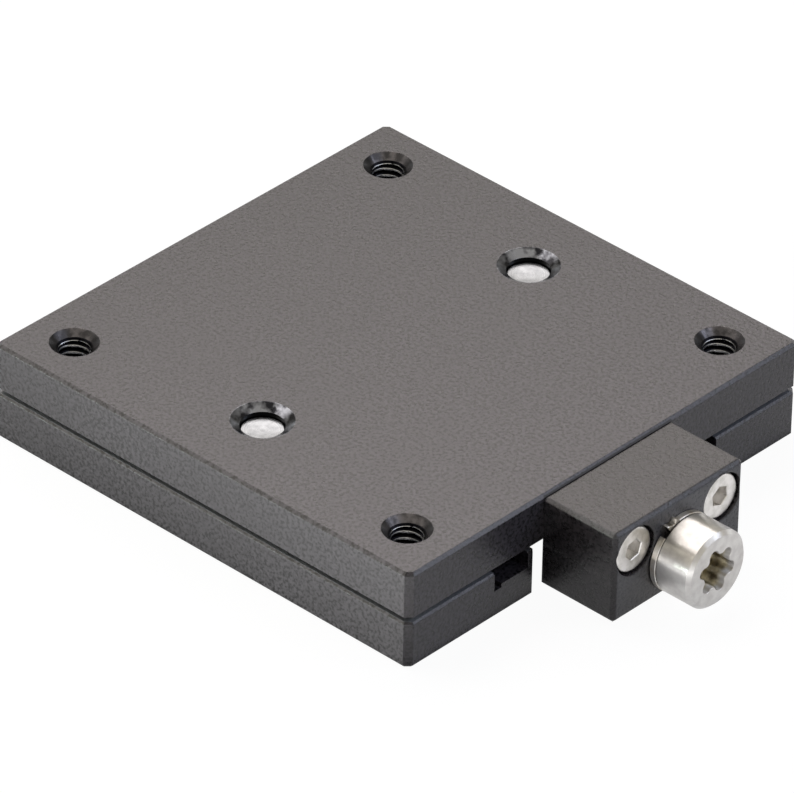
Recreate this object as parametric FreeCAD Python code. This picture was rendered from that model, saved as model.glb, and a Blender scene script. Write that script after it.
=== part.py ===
import FreeCAD, Part
import math
import os

# Manual linear stage, a slide table moved by a feed screw. All sizes are in millimetres.
# X is the travel axis and points to the feed screw's head, Y runs across the stage and
# Z points up. The origin is the centre of the base plate's underside, with the table at
# the middle of its travel.

# Plates
plate_length = 50.0
plate_width = 50.0
base_thickness = 4.75
slide_gap = 0.4
table_thickness = 4.75
outer_edge_chamfer = 0.3
inner_edge_chamfer = 0.2
corner_chamfer = 0.6
travel_each_way = 5.0

# Tapped holes at the corners of both plates, for M4 screws
mount_pitch = 40.0
mount_tap_drill = 3.3
mount_countersink = 4.5

# Channel along the base, with a relief groove at the foot of each wall. Past the table's
# travel only a groove for each rail goes on to the base's ends
channel_width = 28.5
channel_depth = 1.5
rail_groove_clearance = 0.3
relief_width = 0.9
relief_depth = 0.4

# Rails of the ball guide, four alike
rail_length = 28.0
rail_width = 4.0
rail_height = 3.8
rail_edge_break = 0.2
rail_clearance = 0.4
ball_diameter = 2.0
ball_count = 8
rail_spacing_gap = 0.8
groove_clearance = 0.02
cage_thickness = 0.4
cage_height = 2.6
cage_shorter_than_rail = 4.0
cage_end_margin = 1.2
pocket_side_clearance = 0.6
pocket_end_clearance = 0.5

# Screws of the rails: M2 cap screws from below for the base rails, M1.6 cheese-head
# screws for the table rails and for the end plates
rail_screw_end_distance = 4.5
m2_thread = 2.0
m2_clearance_hole = 2.2
m2_head = 3.8
m2_head_height = 2.0
m2_socket = 1.5
base_rail_screw_length = 4.0
base_rail_counterbore = 4.1
base_rail_counterbore_depth = 2.2
m16_thread = 1.6
m16_clearance_hole = 1.8
m16_head = 2.8
m16_head_height = 1.0
m16_slot_width = 0.4
m16_slot_depth = 0.4
table_rail_counterbore = 3.0
table_rail_counterbore_depth = 1.15
table_rail_screw_length = 4.3
end_plate_thickness = 0.4
end_screw_head = 2.4
end_screw_head_height = 0.6
end_screw_length = 2.6
thread_end_clearance = 0.4

# Feed screw and its nut
feed_axis_height = 4.25
feed_thread = 4.0
feed_pitch = 0.5
feed_head = 7.5
feed_head_length = 3.75
feed_head_front_chamfer = 0.35
feed_head_rear_chamfer = 0.15
feed_socket_points = 4.5
feed_socket_waist = 3.2
feed_socket_lobe_radius = 0.39
feed_socket_depth = 2.4
feed_socket_phase = 45.0
running_clearance = 0.05
axial_clearance = 0.05
nut_length = 8.0
nut_start = 7.0
nut_body_width = 7.2
nut_flange_width = 14.0
nut_flange_thickness = 1.7
nut_floor = 1.6
nut_top_clearance = 0.4
nut_chamfer = 0.8
nut_pocket_clearance = 0.05
nut_screw_spacing = 10.6
nut_screw_length = 3.0
nut_screw_head = 3.8
screw_groove_clearance = 0.3

# Bracket that holds the feed screw
bracket_depth = 8.3
bracket_width = 16.4
bracket_bottom = 0.45
bracket_top_drop = 0.2
bracket_chamfer = 0.35
bracket_back_chamfer = 0.2
bracket_screw_spacing = 11.1
bracket_screw_height = 6.9
m25_thread = 2.5
m25_clearance_hole = 2.8
m25_head = 4.4
m25_head_height = 2.5
m25_socket = 2.0
m25_socket_depth = 1.3
m25_head_chamfer = 0.25
bracket_counterbore = 4.8
bracket_head_recess = 0.25
bracket_screw_length = 8.0
notch_side_clearance = 0.85
notch_end_clearance = 1.0
notch_corner_radius = 1.0
notch_mouth_chamfer = 0.4

# Rings on the feed screw
spring_washer_outer = 7.0
spring_washer_inner = 4.5
spring_washer_thickness = 0.7
spring_washer_slit = 0.7
spring_washer_slit_angle = 105.0
back_recess = 6.6
back_recess_depth = 1.6
thrust_washer_outer = 6.2
thrust_washer_thickness = 0.4
ring_outer = 6.0
ring_thickness = 0.6
ring_groove = 3.2
ring_mouth = 2.6

# Lock screw, from the bracket's right side onto the feed screw
lock_offset = 4.1
lock_thread = 2.0
lock_screw_length = 3.6
lock_socket = 0.9
lock_socket_depth = 1.2
lock_screw_recess = 0.35
lock_pad_diameter = 1.5

# Stop pins, in the table, with their tips in slots of the base
stop_pin_spacing = 34.0
stop_pin_head = 4.0
stop_pin_head_height = 1.25
stop_pin_recess = 1.0
stop_pin_chamfer = 0.12
stop_pin_tip = 2.5
stop_pin_reach = 2.6
stop_hole_countersink = 5.7
stop_hole_countersink_depth = 0.55
stop_slot_side_clearance = 0.1
stop_slot_end_clearance = 0.05
stop_slot_floor_clearance = 0.4

# Places that follow from the sizes above
half_length = plate_length / 2
half_width = plate_width / 2
table_bottom = base_thickness + slide_gap
table_top = table_bottom + table_thickness
channel_floor = base_thickness - channel_depth
groove_reach = (ball_diameter / 2 + groove_clearance) * math.sqrt(2)
groove_depth = groove_reach - rail_spacing_gap / 2
pocket_ceiling = channel_floor + rail_clearance + rail_height
ball_height = (channel_floor + pocket_ceiling) / 2
groove_offset = ball_height - channel_floor - rail_height / 2
base_rail_outer = channel_width / 2
base_rail_inner = base_rail_outer - rail_width
ball_row = base_rail_inner - rail_spacing_gap / 2
table_rail_outer = ball_row - rail_spacing_gap / 2
table_rail_inner = table_rail_outer - rail_width
rail_screw_pitch = rail_length / 2 - rail_screw_end_distance
end_screw_reach = rail_length / 2 + end_plate_thickness + end_screw_head_height
pocket_half_length = end_screw_reach + travel_each_way + pocket_end_clearance
pocket_outer = base_rail_outer + pocket_side_clearance
base_rail_screw_row = (base_rail_inner + groove_depth + base_rail_outer) / 2
table_rail_screw_row = (table_rail_inner + table_rail_outer - groove_depth / 2) / 2
cage_length = rail_length - cage_shorter_than_rail
ball_pitch = (cage_length - 2 * cage_end_margin - ball_diameter) / (ball_count - 1)
bracket_front = half_length + bracket_depth
bracket_top = table_top - bracket_top_drop
head_rear = bracket_front + spring_washer_thickness + axial_clearance
head_front = head_rear + feed_head_length
thrust_washer_front = half_length + back_recess_depth
ring_front = thrust_washer_front - thrust_washer_thickness - axial_clearance
nut_top = pocket_ceiling - nut_top_clearance
feed_screw_end = nut_start - travel_each_way - feed_pitch
notch_depth = travel_each_way + notch_end_clearance
notch_half_width = bracket_width / 2 + notch_side_clearance
centre_slot_half_width = nut_body_width / 2 + rail_clearance
centre_slot_start = nut_start - travel_each_way - pocket_end_clearance
screw_groove_radius = feed_thread / 2 + screw_groove_clearance
screw_groove_start = feed_screw_end - travel_each_way - pocket_end_clearance
lock_position = half_length + lock_offset

VERTICAL = FreeCAD.Vector(0, 0, 1)
ALONG = FreeCAD.Vector(1, 0, 0)
ACROSS = FreeCAD.Vector(0, 1, 0)
SIDES = {"left": -1, "right": 1}


def at(x, y, z):
    return FreeCAD.Vector(x, y, z)


def profile_x(points, start, length):
    """A closed outline of (y, z) points, drawn at x = start and extruded along X."""
    corners = [at(start, y, z) for y, z in points]
    outline = Part.makePolygon(corners + corners[:1])
    return Part.Face(outline).extrude(ALONG * length)


def profile_z(points, bottom, height):
    """A closed outline of (x, y) points, drawn at z = bottom and extruded upwards."""
    corners = [at(x, y, bottom) for x, y in points]
    outline = Part.makePolygon(corners + corners[:1])
    return Part.Face(outline).extrude(VERTICAL * height)


def hexagon(across_flats, depth, centre, direction):
    """A hexagonal prism that starts at centre and runs along direction."""
    radius = across_flats / math.sqrt(3)
    corners = []
    for step in range(6):
        angle = math.radians(60 * step)
        corners.append(at(radius * math.cos(angle), radius * math.sin(angle), 0))
    prism = Part.Face(Part.makePolygon(corners + corners[:1])).extrude(VERTICAL * depth)
    prism.Placement = FreeCAD.Placement(centre, FreeCAD.Rotation(VERTICAL, direction))
    return prism


def six_lobed(points, waist, lobe_radius, depth, centre, direction, phase=0.0):
    """A prism with six round lobes, for a key socket. Hollow arcs join the lobes smoothly."""
    lobe_reach = points / 2 - lobe_radius
    step = lobe_radius - waist / 2
    half_turn = math.radians(30)
    hollow_reach = (lobe_reach ** 2 - step ** 2) / (lobe_reach * math.cos(half_turn) + step) / 2
    joint = lobe_radius / (hollow_reach + step)
    edges = []
    for number in range(6):
        angle = math.radians(phase + 60 * number)
        lobe = at(lobe_reach * math.cos(angle), lobe_reach * math.sin(angle), 0)
        tip = at(points / 2 * math.cos(angle), points / 2 * math.sin(angle), 0)
        joints = []
        for side in (-1, 1):
            turn = angle + side * half_turn
            hollow = at(hollow_reach * math.cos(turn), hollow_reach * math.sin(turn), 0)
            joints.append(lobe + (hollow - lobe) * joint)
        next_hollow = angle + half_turn
        middle = at(waist / 2 * math.cos(next_hollow), waist / 2 * math.sin(next_hollow), 0)
        next_joint = FreeCAD.Rotation(VERTICAL, 60).multVec(joints[0])
        edges.append(Part.Arc(joints[0], tip, joints[1]).toShape())
        edges.append(Part.Arc(joints[1], middle, next_joint).toShape())
    prism = Part.Face(Part.Wire(edges)).extrude(VERTICAL * depth)
    prism.Placement = FreeCAD.Placement(centre, FreeCAD.Rotation(VERTICAL, direction))
    return prism


def turned(points, axis_point, direction):
    """A solid of revolution from (distance along the axis, radius) points."""
    corners = [at(radius, 0, distance) for distance, radius in points]
    face = Part.Face(Part.makePolygon(corners + corners[:1]))
    solid = face.revolve(at(0, 0, 0), VERTICAL, 360)
    solid.Placement = FreeCAD.Placement(axis_point, FreeCAD.Rotation(VERTICAL, direction))
    return solid


def rod(diameter, length, start, direction):
    return Part.makeCylinder(diameter / 2, length, start, direction)


def countersink(mouth, hole, start, direction):
    """A 45 degree cone from the mouth's diameter down to the hole's."""
    return Part.makeCone(mouth / 2, hole / 2, (mouth - hole) / 2, start, direction)


def one(solids):
    """Separate solids of one node, kept apart in a compound."""
    return Part.makeCompound(solids)


def level_edges(solid, height):
    """The edges that lie flat at one height."""
    found = []
    for edge in solid.Edges:
        box = edge.BoundBox
        if abs(box.ZMin - height) < 1e-6 and abs(box.ZMax - height) < 1e-6:
            found.append(edge)
    return found


def plate_outline():
    """The square outline of a plate, with its four corners cut off at 45 degrees."""
    x = half_length
    y = half_width
    c = corner_chamfer
    return [(x - c, -y), (x, c - y), (x, y - c), (x - c, y),
            (c - x, y), (-x, y - c), (-x, c - y), (c - x, -y)]


def corner_points():
    reach = mount_pitch / 2
    return [(x, y) for x in (-reach, reach) for y in (-reach, reach)]


def tapped_corner_holes(bottom, top):
    """Through holes at the four corners, countersunk at both faces."""
    tools = []
    for x, y in corner_points():
        tools.append(rod(mount_tap_drill, top - bottom, at(x, y, bottom), VERTICAL))
        tools.append(countersink(mount_countersink, mount_tap_drill, at(x, y, top), -VERTICAL))
        tools.append(countersink(mount_countersink, mount_tap_drill, at(x, y, bottom), VERTICAL))
    return tools


def stop_pin_places():
    return [(0, -stop_pin_spacing / 2), (0, stop_pin_spacing / 2)]


def rail_screw_places(row):
    return [(x, side * row) for side in SIDES.values()
            for x in (-rail_screw_pitch, 0, rail_screw_pitch)]


def nut_screw_places():
    x = nut_start + nut_length / 2
    return [(x, side * nut_screw_spacing / 2) for side in SIDES.values()]


def bracket_screw_rows():
    return [side * bracket_screw_spacing / 2 for side in SIDES.values()]


def notch_tool():
    """The notch that lets the bracket in when the table moves back."""
    x = half_length - notch_depth
    y = notch_half_width
    reach = half_length + notch_depth
    block = profile_z([(x, -y), (reach, -y), (reach, y), (x, y)], 0, base_thickness)
    inner = []
    for edge in block.Edges:
        box = edge.BoundBox
        if box.ZLength > base_thickness / 2 and abs(box.XMin - x) < 1e-6:
            inner.append(edge)
    return block.makeFillet(notch_corner_radius, inner)


def notch_mouth_tools():
    """Two upright square bars, set on edge, that break the notch's mouth at 45 degrees."""
    c = notch_mouth_chamfer
    tools = []
    for side in SIDES.values():
        y = side * notch_half_width
        corners = [(half_length - c, y), (half_length, y - side * c),
                   (half_length + c, y), (half_length, y + side * c)]
        tools.append(profile_z(corners, 0, base_thickness))
    return tools


def channel_tools():
    """The channel over the table's travel, and a groove for each rail from end to end."""
    top = base_thickness
    floor = channel_floor
    deep = channel_floor - relief_depth
    outer = base_rail_outer
    foot = outer - relief_width
    inner = base_rail_inner - rail_groove_clearance
    tools = [profile_x([(-foot, floor), (foot, floor), (foot, top), (-foot, top)],
                       -pocket_half_length, 2 * pocket_half_length)]
    for side in SIDES.values():
        section = [(inner, top), (inner, floor), (foot, floor), (foot, deep), (outer, deep), (outer, top)]
        tools.append(profile_x([(side * y, z) for y, z in section], -half_length, plate_length))
    return tools


def stop_slot(x, y):
    """A blind slot for a stop pin's tip, as long as the travel."""
    radius = stop_pin_tip / 2 + stop_slot_side_clearance
    reach = travel_each_way + stop_slot_end_clearance - stop_slot_side_clearance
    depth = stop_pin_reach + stop_slot_floor_clearance
    bottom = base_thickness - depth
    ends = [Part.makeCylinder(radius, depth, at(x + step * reach, y, bottom)) for step in (-1, 1)]
    middle = profile_z([(x - reach, y - radius), (x + reach, y - radius),
                        (x + reach, y + radius), (x - reach, y + radius)], bottom, depth)
    return middle.fuse(ends)


def base_plate():
    plate = profile_z(plate_outline(), 0, base_thickness)
    plate = plate.cut([notch_tool()] + notch_mouth_tools())
    plate = plate.makeChamfer(outer_edge_chamfer, level_edges(plate, 0))
    plate = plate.makeChamfer(inner_edge_chamfer, level_edges(plate, base_thickness))
    tools = channel_tools()
    tools += tapped_corner_holes(0, base_thickness)
    for x, y in stop_pin_places():
        tools.append(stop_slot(x, y))
    for x, y in rail_screw_places(base_rail_screw_row):
        tools.append(rod(m2_clearance_hole, channel_floor, at(x, y, 0), VERTICAL))
        tools.append(rod(base_rail_counterbore, base_rail_counterbore_depth, at(x, y, 0), VERTICAL))
    for x, y in nut_screw_places():
        tools.append(rod(m2_clearance_hole, nut_floor, at(x, y, 0), VERTICAL))
        tools.append(countersink(nut_screw_head, m2_clearance_hole, at(x, y, 0), VERTICAL))
    groove_length = half_length - screw_groove_start
    tools.append(rod(2 * screw_groove_radius, groove_length,
                     at(screw_groove_start, 0, feed_axis_height), ALONG))
    half = nut_flange_width / 2 + nut_pocket_clearance
    start = nut_start - nut_pocket_clearance
    pocket_length = nut_length + 2 * nut_pocket_clearance
    tools.append(profile_x([(-half, nut_floor), (half, nut_floor),
                            (half, base_thickness), (-half, base_thickness)],
                           start, pocket_length))
    return plate.cut(tools)


def table_plate():
    plate = profile_z(plate_outline(), table_bottom, table_thickness)
    plate = plate.makeChamfer(outer_edge_chamfer, level_edges(plate, table_top))
    plate = plate.makeChamfer(inner_edge_chamfer, level_edges(plate, table_bottom))
    tools = tapped_corner_holes(table_bottom, table_top)
    for side in SIDES.values():
        inner = side * table_rail_inner
        outer = side * pocket_outer
        corners = [(-pocket_half_length, inner), (pocket_half_length, inner),
                   (pocket_half_length, outer), (-pocket_half_length, outer)]
        tools.append(profile_z(corners, table_bottom, pocket_ceiling - table_bottom))
    w = centre_slot_half_width
    tools.append(profile_z([(centre_slot_start, -w), (pocket_half_length, -w),
                            (pocket_half_length, w), (centre_slot_start, w)],
                           table_bottom, pocket_ceiling - table_bottom))
    wall_start = pocket_half_length
    tools.append(rod(2 * screw_groove_radius, half_length - wall_start,
                     at(wall_start, 0, feed_axis_height), ALONG))
    seat = table_top - stop_pin_recess - stop_pin_head_height
    for x, y in stop_pin_places():
        tools.append(rod(stop_pin_tip, table_thickness, at(x, y, table_bottom), VERTICAL))
        tools.append(rod(stop_pin_head, table_thickness, at(x, y, seat), VERTICAL))
        tools.append(Part.makeCone(stop_hole_countersink / 2, stop_pin_head / 2,
                                   stop_hole_countersink_depth, at(x, y, table_top), -VERTICAL))
    for x, y in rail_screw_places(table_rail_screw_row):
        depth = table_rail_screw_length - rail_height + table_rail_counterbore_depth
        tools.append(rod(m16_thread, depth + thread_end_clearance / 2,
                         at(x, y, pocket_ceiling), VERTICAL))
    for y in bracket_screw_rows():
        tools.append(rod(m25_thread, bracket_thread_depth() + thread_end_clearance,
                         at(half_length, y, bracket_screw_height), -ALONG))
    return plate.cut(tools)


def bracket_thread_depth():
    """How far a bracket screw reaches into the table."""
    under_head = bracket_depth - bracket_head_recess - m25_head_height
    return bracket_screw_length - under_head


def bracket():
    """The block on the table's front face that carries the feed screw."""
    half = bracket_width / 2
    height = bracket_top - bracket_bottom
    block = profile_z([(half_length, -half), (bracket_front, -half),
                       (bracket_front, half), (half_length, half)], bracket_bottom, height)
    edges = []
    for edge in block.Edges:
        if edge.BoundBox.XMax > half_length + 1e-6:
            edges.append(edge)
    block = block.makeChamfer(bracket_chamfer, edges)
    back = [edge for edge in level_edges(block, bracket_top)
            if edge.BoundBox.XMax < half_length + 1e-6]
    block = block.makeChamfer(bracket_back_chamfer, back)
    tools = []
    for y in bracket_screw_rows():
        tools.append(rod(m25_clearance_hole, bracket_depth,
                         at(half_length, y, bracket_screw_height), ALONG))
        tools.append(rod(bracket_counterbore, m25_head_height + bracket_head_recess,
                         at(bracket_front, y, bracket_screw_height), -ALONG))
    bore = feed_thread + 2 * running_clearance
    tools.append(rod(bore, bracket_depth, at(half_length, 0, feed_axis_height), ALONG))
    tools.append(rod(back_recess, back_recess_depth, at(half_length, 0, feed_axis_height), ALONG))
    tools.append(rod(lock_thread, half, at(lock_position, half, feed_axis_height), -ACROSS))
    return block.cut(tools)


def rail_section(side, carried_by_table):
    """A rail's section in (y, z), with a 90 degree groove on the side that faces the balls."""
    b = rail_edge_break
    h = rail_height
    w = rail_width
    groove_middle = h / 2 + groove_offset
    low = groove_middle - groove_depth
    high = groove_middle + groove_depth
    points = [(b, 0), (w - b, 0), (w, b), (w, h - b), (w - b, h), (b, h), (0, h - b),
              (0, high), (groove_depth, groove_middle), (0, low), (0, b)]
    if carried_by_table:
        return [(side * (table_rail_outer - y), pocket_ceiling - z) for y, z in points]
    return [(side * (base_rail_inner + y), channel_floor + z) for y, z in points]


def base_rail(side):
    rail = profile_x(rail_section(side, False), -rail_length / 2, rail_length)
    y = side * base_rail_screw_row
    depth = base_rail_screw_length - (channel_floor - base_rail_counterbore_depth)
    tools = []
    for x in (-rail_screw_pitch, 0, rail_screw_pitch):
        tools.append(rod(m2_thread, depth + thread_end_clearance, at(x, y, channel_floor), VERTICAL))
    height = channel_floor + rail_height / 2
    return rail.cut(tools + end_thread_tools(y, height))


def table_rail(side):
    rail = profile_x(rail_section(side, True), -rail_length / 2, rail_length)
    y = side * table_rail_screw_row
    bottom = pocket_ceiling - rail_height
    tools = []
    for x in (-rail_screw_pitch, 0, rail_screw_pitch):
        tools.append(rod(m16_clearance_hole, rail_height, at(x, y, bottom), VERTICAL))
        tools.append(rod(table_rail_counterbore, table_rail_counterbore_depth,
                         at(x, y, bottom), VERTICAL))
    return rail.cut(tools + end_thread_tools(y, pocket_ceiling - rail_height / 2))


def end_thread_tools(y, height):
    """Threads in a rail's two ends, for the end plates' screws."""
    depth = end_screw_length - end_plate_thickness + thread_end_clearance
    return [rod(m16_thread, depth, at(end * rail_length / 2, y, height), -ALONG * end)
            for end in (-1, 1)]


def end_plates(row, inner, outer, bottom):
    """The four thin plates that keep the balls and cages between the rails' ends."""
    margin = rail_edge_break
    plates = []
    for side in SIDES.values():
        for end in (-1, 1):
            low = min(side * inner, side * outer) + margin
            high = max(side * inner, side * outer) - margin
            z0 = bottom + margin
            z1 = bottom + rail_height - margin
            start = end * rail_length / 2
            plate = profile_x([(low, z0), (high, z0), (high, z1), (low, z1)],
                              start, end * end_plate_thickness)
            hole = rod(m16_thread, end_plate_thickness,
                       at(start, side * row, bottom + rail_height / 2), ALONG * end)
            plates.append(plate.cut(hole))
    return one(plates)


def slotted_screw(thread, length, head, head_height, centre, direction):
    """A cheese-head screw with a straight slot. centre is under the head, on the seat."""
    screw = turned([(-head_height, 0), (-head_height, head / 2), (0, head / 2),
                    (0, thread / 2), (length, thread / 2), (length, 0)], centre, direction)
    across = ACROSS if abs(direction.z) > 0.5 else VERTICAL
    side = direction.cross(across)
    a = across * (m16_slot_width / 2)
    b = side * head
    mouth = centre - direction * head_height
    corners = [mouth + a + b, mouth + a - b, mouth - a - b, mouth - a + b]
    slot = Part.Face(Part.makePolygon(corners + corners[:1])).extrude(direction * m16_slot_depth)
    return screw.cut(slot)


def end_screws(row, bottom):
    screws = []
    for side in SIDES.values():
        for end in (-1, 1):
            seat = end * (rail_length / 2 + end_plate_thickness)
            centre = at(seat, side * row, bottom + rail_height / 2)
            screws.append(slotted_screw(m16_thread, end_screw_length, end_screw_head,
                                        end_screw_head_height, centre, -ALONG * end))
    return one(screws)


def cap_screw(thread, length, head, head_height, socket, socket_depth, chamfer, centre, direction):
    """A socket head cap screw. centre is under the head, on the seat."""
    r = head / 2
    screw = turned([(-head_height, 0), (-head_height, r - chamfer), (chamfer - head_height, r),
                    (0, r), (0, thread / 2), (length, thread / 2), (length, 0)], centre, direction)
    return screw.cut(hexagon(socket, socket_depth, centre - direction * head_height, direction))


def base_rail_screws():
    screws = []
    for x, y in rail_screw_places(base_rail_screw_row):
        screws.append(cap_screw(m2_thread, base_rail_screw_length, m2_head, m2_head_height,
                                m2_socket, m2_head_height / 2, rail_edge_break,
                                at(x, y, base_rail_counterbore_depth), VERTICAL))
    return one(screws)


def table_rail_screws():
    seat = pocket_ceiling - rail_height + table_rail_counterbore_depth
    return one([slotted_screw(m16_thread, table_rail_screw_length, m16_head, m16_head_height,
                              at(x, y, seat), VERTICAL)
                for x, y in rail_screw_places(table_rail_screw_row)])


def bracket_screws():
    seat = bracket_front - bracket_head_recess - m25_head_height
    return one([cap_screw(m25_thread, bracket_screw_length, m25_head, m25_head_height,
                          m25_socket, m25_socket_depth, m25_head_chamfer,
                          at(seat, y, bracket_screw_height), -ALONG)
                for y in bracket_screw_rows()])


def nut_screws():
    """Countersunk screws from below, into the nut's flange."""
    screws = []
    cone = (nut_screw_head - m2_thread) / 2
    for x, y in nut_screw_places():
        screw = turned([(0, 0), (0, nut_screw_head / 2 - running_clearance),
                        (cone - running_clearance, m2_thread / 2),
                        (nut_screw_length, m2_thread / 2), (nut_screw_length, 0)],
                       at(x, y, 0), VERTICAL)
        screws.append(screw.cut(hexagon(m2_socket, m2_head_height / 2, at(x, y, 0), VERTICAL)))
    return one(screws)


def bearing_balls(side):
    first = -(ball_count - 1) * ball_pitch / 2
    return one([Part.makeSphere(ball_diameter / 2, at(first + n * ball_pitch, side * ball_row, ball_height))
                for n in range(ball_count)])


def ball_cage(side):
    """A thin strip with one hole for each ball."""
    y = side * ball_row
    half = cage_height / 2
    middle = ball_height
    strip = profile_x([(y - cage_thickness / 2, middle - half), (y + cage_thickness / 2, middle - half),
                       (y + cage_thickness / 2, middle + half), (y - cage_thickness / 2, middle + half)],
                      -cage_length / 2, cage_length)
    hole = ball_diameter + 2 * groove_clearance
    first = -(ball_count - 1) * ball_pitch / 2
    holes = [rod(hole, 2 * cage_thickness, at(first + n * ball_pitch, y - cage_thickness, middle), ACROSS)
             for n in range(ball_count)]
    return strip.cut(holes)


def feed_nut():
    """A nut with a flanged foot, let into the base's floor."""
    body = nut_body_width / 2
    foot = nut_flange_width / 2
    shoulder = nut_floor + nut_flange_thickness
    c = nut_chamfer
    points = [(-foot, nut_floor), (foot, nut_floor), (foot, shoulder), (body, shoulder),
              (body, nut_top - c), (body - c, nut_top), (c - body, nut_top),
              (-body, nut_top - c), (-body, shoulder), (-foot, shoulder)]
    nut = profile_x(points, nut_start, nut_length)
    bore = feed_thread + 2 * running_clearance
    tools = [rod(bore, nut_length, at(nut_start, 0, feed_axis_height), ALONG)]
    for x, y in nut_screw_places():
        tools.append(rod(m2_thread, nut_flange_thickness, at(x, y, nut_floor), VERTICAL))
    return nut.cut(tools)


def feed_screw():
    """The feed screw, turned in one piece with its head, a journal and a ring groove.

    Its tip has a chamfer as long as one turn of the thread.
    """
    r = feed_thread / 2
    head = feed_head / 2
    front = feed_head_front_chamfer
    rear = feed_head_rear_chamfer
    neck = ring_groove / 2
    groove_start = ring_front - ring_thickness - axial_clearance
    groove_end = ring_front + axial_clearance
    points = [(feed_screw_end, 0), (feed_screw_end, r - feed_pitch),
              (feed_screw_end + feed_pitch, r), (groove_start, r), (groove_start, neck),
              (groove_end, neck), (groove_end, r), (head_rear, r), (head_rear, head - rear),
              (head_rear + rear, head), (head_front - front, head), (head_front, head - front),
              (head_front, 0)]
    screw = turned(points, at(0, 0, feed_axis_height), ALONG)
    socket = six_lobed(feed_socket_points, feed_socket_waist, feed_socket_lobe_radius,
                       feed_socket_depth, at(head_front, 0, feed_axis_height), -ALONG,
                       feed_socket_phase)
    return screw.cut(socket)


def washer(outer, inner, start, thickness):
    ring = rod(outer, thickness, at(start, 0, feed_axis_height), ALONG)
    return ring.cut(rod(inner, thickness, at(start, 0, feed_axis_height), ALONG))


def radial_cut(width, angle, start, thickness, reach):
    """A straight cut from the axis outwards, at an angle from +Y towards +Z."""
    h = width / 2
    corners = [at(start, 0, -h), at(start, reach, -h), at(start, reach, h), at(start, 0, h)]
    block = Part.Face(Part.makePolygon(corners + corners[:1])).extrude(ALONG * thickness)
    block.rotate(at(0, 0, 0), ALONG, angle)
    block.translate(at(0, 0, feed_axis_height))
    return block


def spring_washer():
    """A split washer under the feed screw's head."""
    ring = washer(spring_washer_outer, spring_washer_inner, bracket_front, spring_washer_thickness)
    return ring.cut(radial_cut(spring_washer_slit, spring_washer_slit_angle, bracket_front,
                               spring_washer_thickness, spring_washer_outer))


def thrust_washer():
    inner = feed_thread + 2 * running_clearance
    return washer(thrust_washer_outer, inner, thrust_washer_front - thrust_washer_thickness,
                  thrust_washer_thickness)


def retaining_ring():
    """An open ring that snaps into the feed screw's groove."""
    start = ring_front - ring_thickness
    ring = washer(ring_outer, ring_groove, start, ring_thickness)
    return ring.cut(radial_cut(ring_mouth, -90, start, ring_thickness, ring_outer))


def lock_screw():
    """A headless screw with a hexagon socket in its outer end."""
    outer = bracket_width / 2 - lock_screw_recess
    r = lock_thread / 2 - running_clearance
    b = rail_edge_break
    screw = turned([(0, 0), (0, r - b), (b, r), (lock_screw_length - b, r),
                    (lock_screw_length, r - b), (lock_screw_length, 0)],
                   at(lock_position, outer, feed_axis_height), -ACROSS)
    return screw.cut(hexagon(lock_socket, lock_socket_depth,
                             at(lock_position, outer, feed_axis_height), -ACROSS))


def lock_pad():
    """A soft plug between the lock screw and the feed screw."""
    start = bracket_width / 2 - lock_screw_recess - lock_screw_length - axial_clearance
    end = feed_thread / 2 + running_clearance
    return rod(lock_pad_diameter, start - end, at(lock_position, start, feed_axis_height), -ACROSS)


def stop_pins():
    top = table_top - stop_pin_recess
    seat = top - stop_pin_head_height
    tip = base_thickness - stop_pin_reach
    c = stop_pin_chamfer
    points = [(tip, 0), (tip, stop_pin_tip / 2 - c), (tip + c, stop_pin_tip / 2),
              (seat, stop_pin_tip / 2), (seat, stop_pin_head / 2),
              (top - c, stop_pin_head / 2), (top, stop_pin_head / 2 - c), (top, 0)]
    return one([turned(points, at(x, y, 0), VERTICAL) for x, y in stop_pin_places()])


def all_parts():
    parts = {
        "base_plate": base_plate(),
        "table_plate": table_plate(),
        "feed_bracket": bracket(),
        "bracket_screws": bracket_screws(),
        "feed_screw": feed_screw(),
        "spring_washer": spring_washer(),
        "thrust_washer": thrust_washer(),
        "retaining_ring": retaining_ring(),
        "feed_nut": feed_nut(),
        "nut_screws": nut_screws(),
        "lock_screw": lock_screw(),
        "lock_pad": lock_pad(),
        "stop_pins": stop_pins(),
        "base_rail_screws": base_rail_screws(),
        "table_rail_screws": table_rail_screws(),
        "base_rail_end_plates": end_plates(base_rail_screw_row, base_rail_inner,
                                           base_rail_outer, channel_floor),
        "table_rail_end_plates": end_plates(table_rail_screw_row, table_rail_inner,
                                            table_rail_outer, pocket_ceiling - rail_height),
        "base_rail_end_screws": end_screws(base_rail_screw_row, channel_floor),
        "table_rail_end_screws": end_screws(table_rail_screw_row, pocket_ceiling - rail_height),
    }
    for name, side in SIDES.items():
        parts["base_rail_" + name] = base_rail(side)
        parts["table_rail_" + name] = table_rail(side)
        parts["ball_cage_" + name] = ball_cage(side)
        parts["bearing_balls_" + name] = bearing_balls(side)
    return parts


os.makedirs("parts", exist_ok=True)
for node, shape in all_parts().items():
    shape.exportStep("parts/" + node + ".step")
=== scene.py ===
import math

import bmesh
import bpy
from mathutils import Matrix, Vector


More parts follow.
